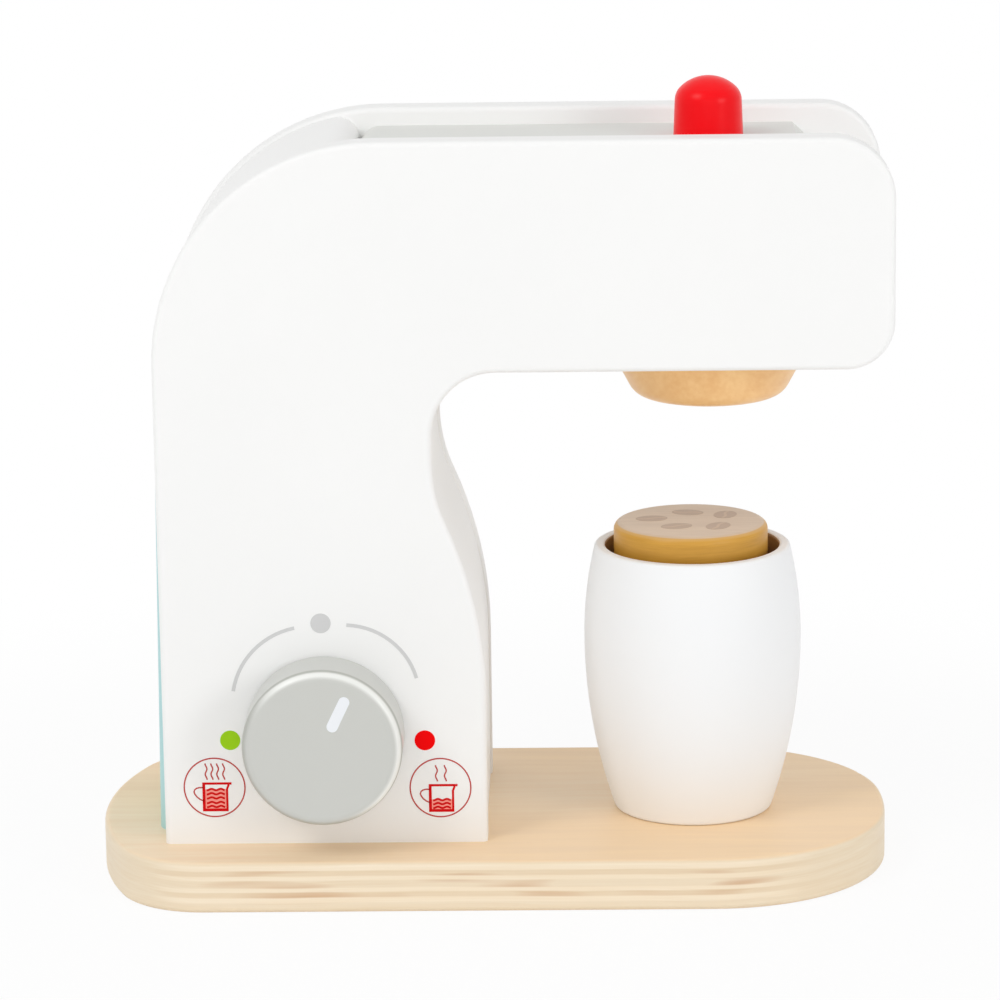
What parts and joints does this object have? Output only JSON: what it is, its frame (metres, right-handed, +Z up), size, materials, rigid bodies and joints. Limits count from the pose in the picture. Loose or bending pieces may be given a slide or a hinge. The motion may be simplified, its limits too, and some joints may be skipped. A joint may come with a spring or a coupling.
{
  "type": "toy coffee machine",
  "caption": "Wooden pretend-play coffee machine: base board, upright with a long arm, knob, push button, nozzle, cup and coffee disc.",
  "frame": {"origin": "centre of the base board's underside", "axes": "+Z up, +X along the arm towards its free end, front with the knob facing -Y"},
  "size_m": [0.222, 0.1106, 0.2224],
  "materials": {
    "plywood": "clear varnish",
    "white_paint": "satin paint",
    "deck_paint": "satin paint",
    "tank_paint": "satin paint",
    "button_paint": "gloss paint",
    "knob_paint": "satin paint",
    "cup_paint": "satin paint",
    "disc_paint": "satin paint",
    "turned_wood": "clear varnish",
    "dowel_wood": "bare",
    "spring_steel": "drawn wire",
    "screw_steel": "zinc plated",
    "grey_print": "screen print",
    "red_print": "screen print",
    "green_print": "screen print",
    "white_print": "screen print",
    "bean_print": "screen print"
  },
  "bodies": {
    "machine": {"base_board": "plywood", "front_panel": "white_paint", "back_panel": "white_paint", "column_block": "white_paint", "arm_block": "deck_paint", "water_tank": "tank_paint", "nozzle": "turned_wood", "button_spring": "spring_steel", "cup": "cup_paint", "coffee_disc": "disc_paint", "panel_dowels": "dowel_wood", "arm_dowels": "dowel_wood", "base_screws": "screw_steel"},
    "push_button": {"button": "button_paint", "button_washer": "screw_steel", "button_screw": "screw_steel"},
    "dial": {"knob": "knob_paint", "knob_axle": "dowel_wood", "knob_washer": "screw_steel", "knob_screw": "screw_steel"}
  },
  "joints": [
    {"name": "button_press", "type": "slide", "parent": "machine", "child": "push_button", "axis": [0, 0, -1], "range_m": [0, 0.006], "stiffness_N_per_m": 300, "springref_m": -0.003, "deforming": ["button_spring"]},
    {"name": "knob_turn", "type": "hinge", "parent": "machine", "child": "dial", "pos_m": [-0.0457, -0.0464, 0.0464], "axis": [0, 1, 0], "continuous": true}
  ]
}
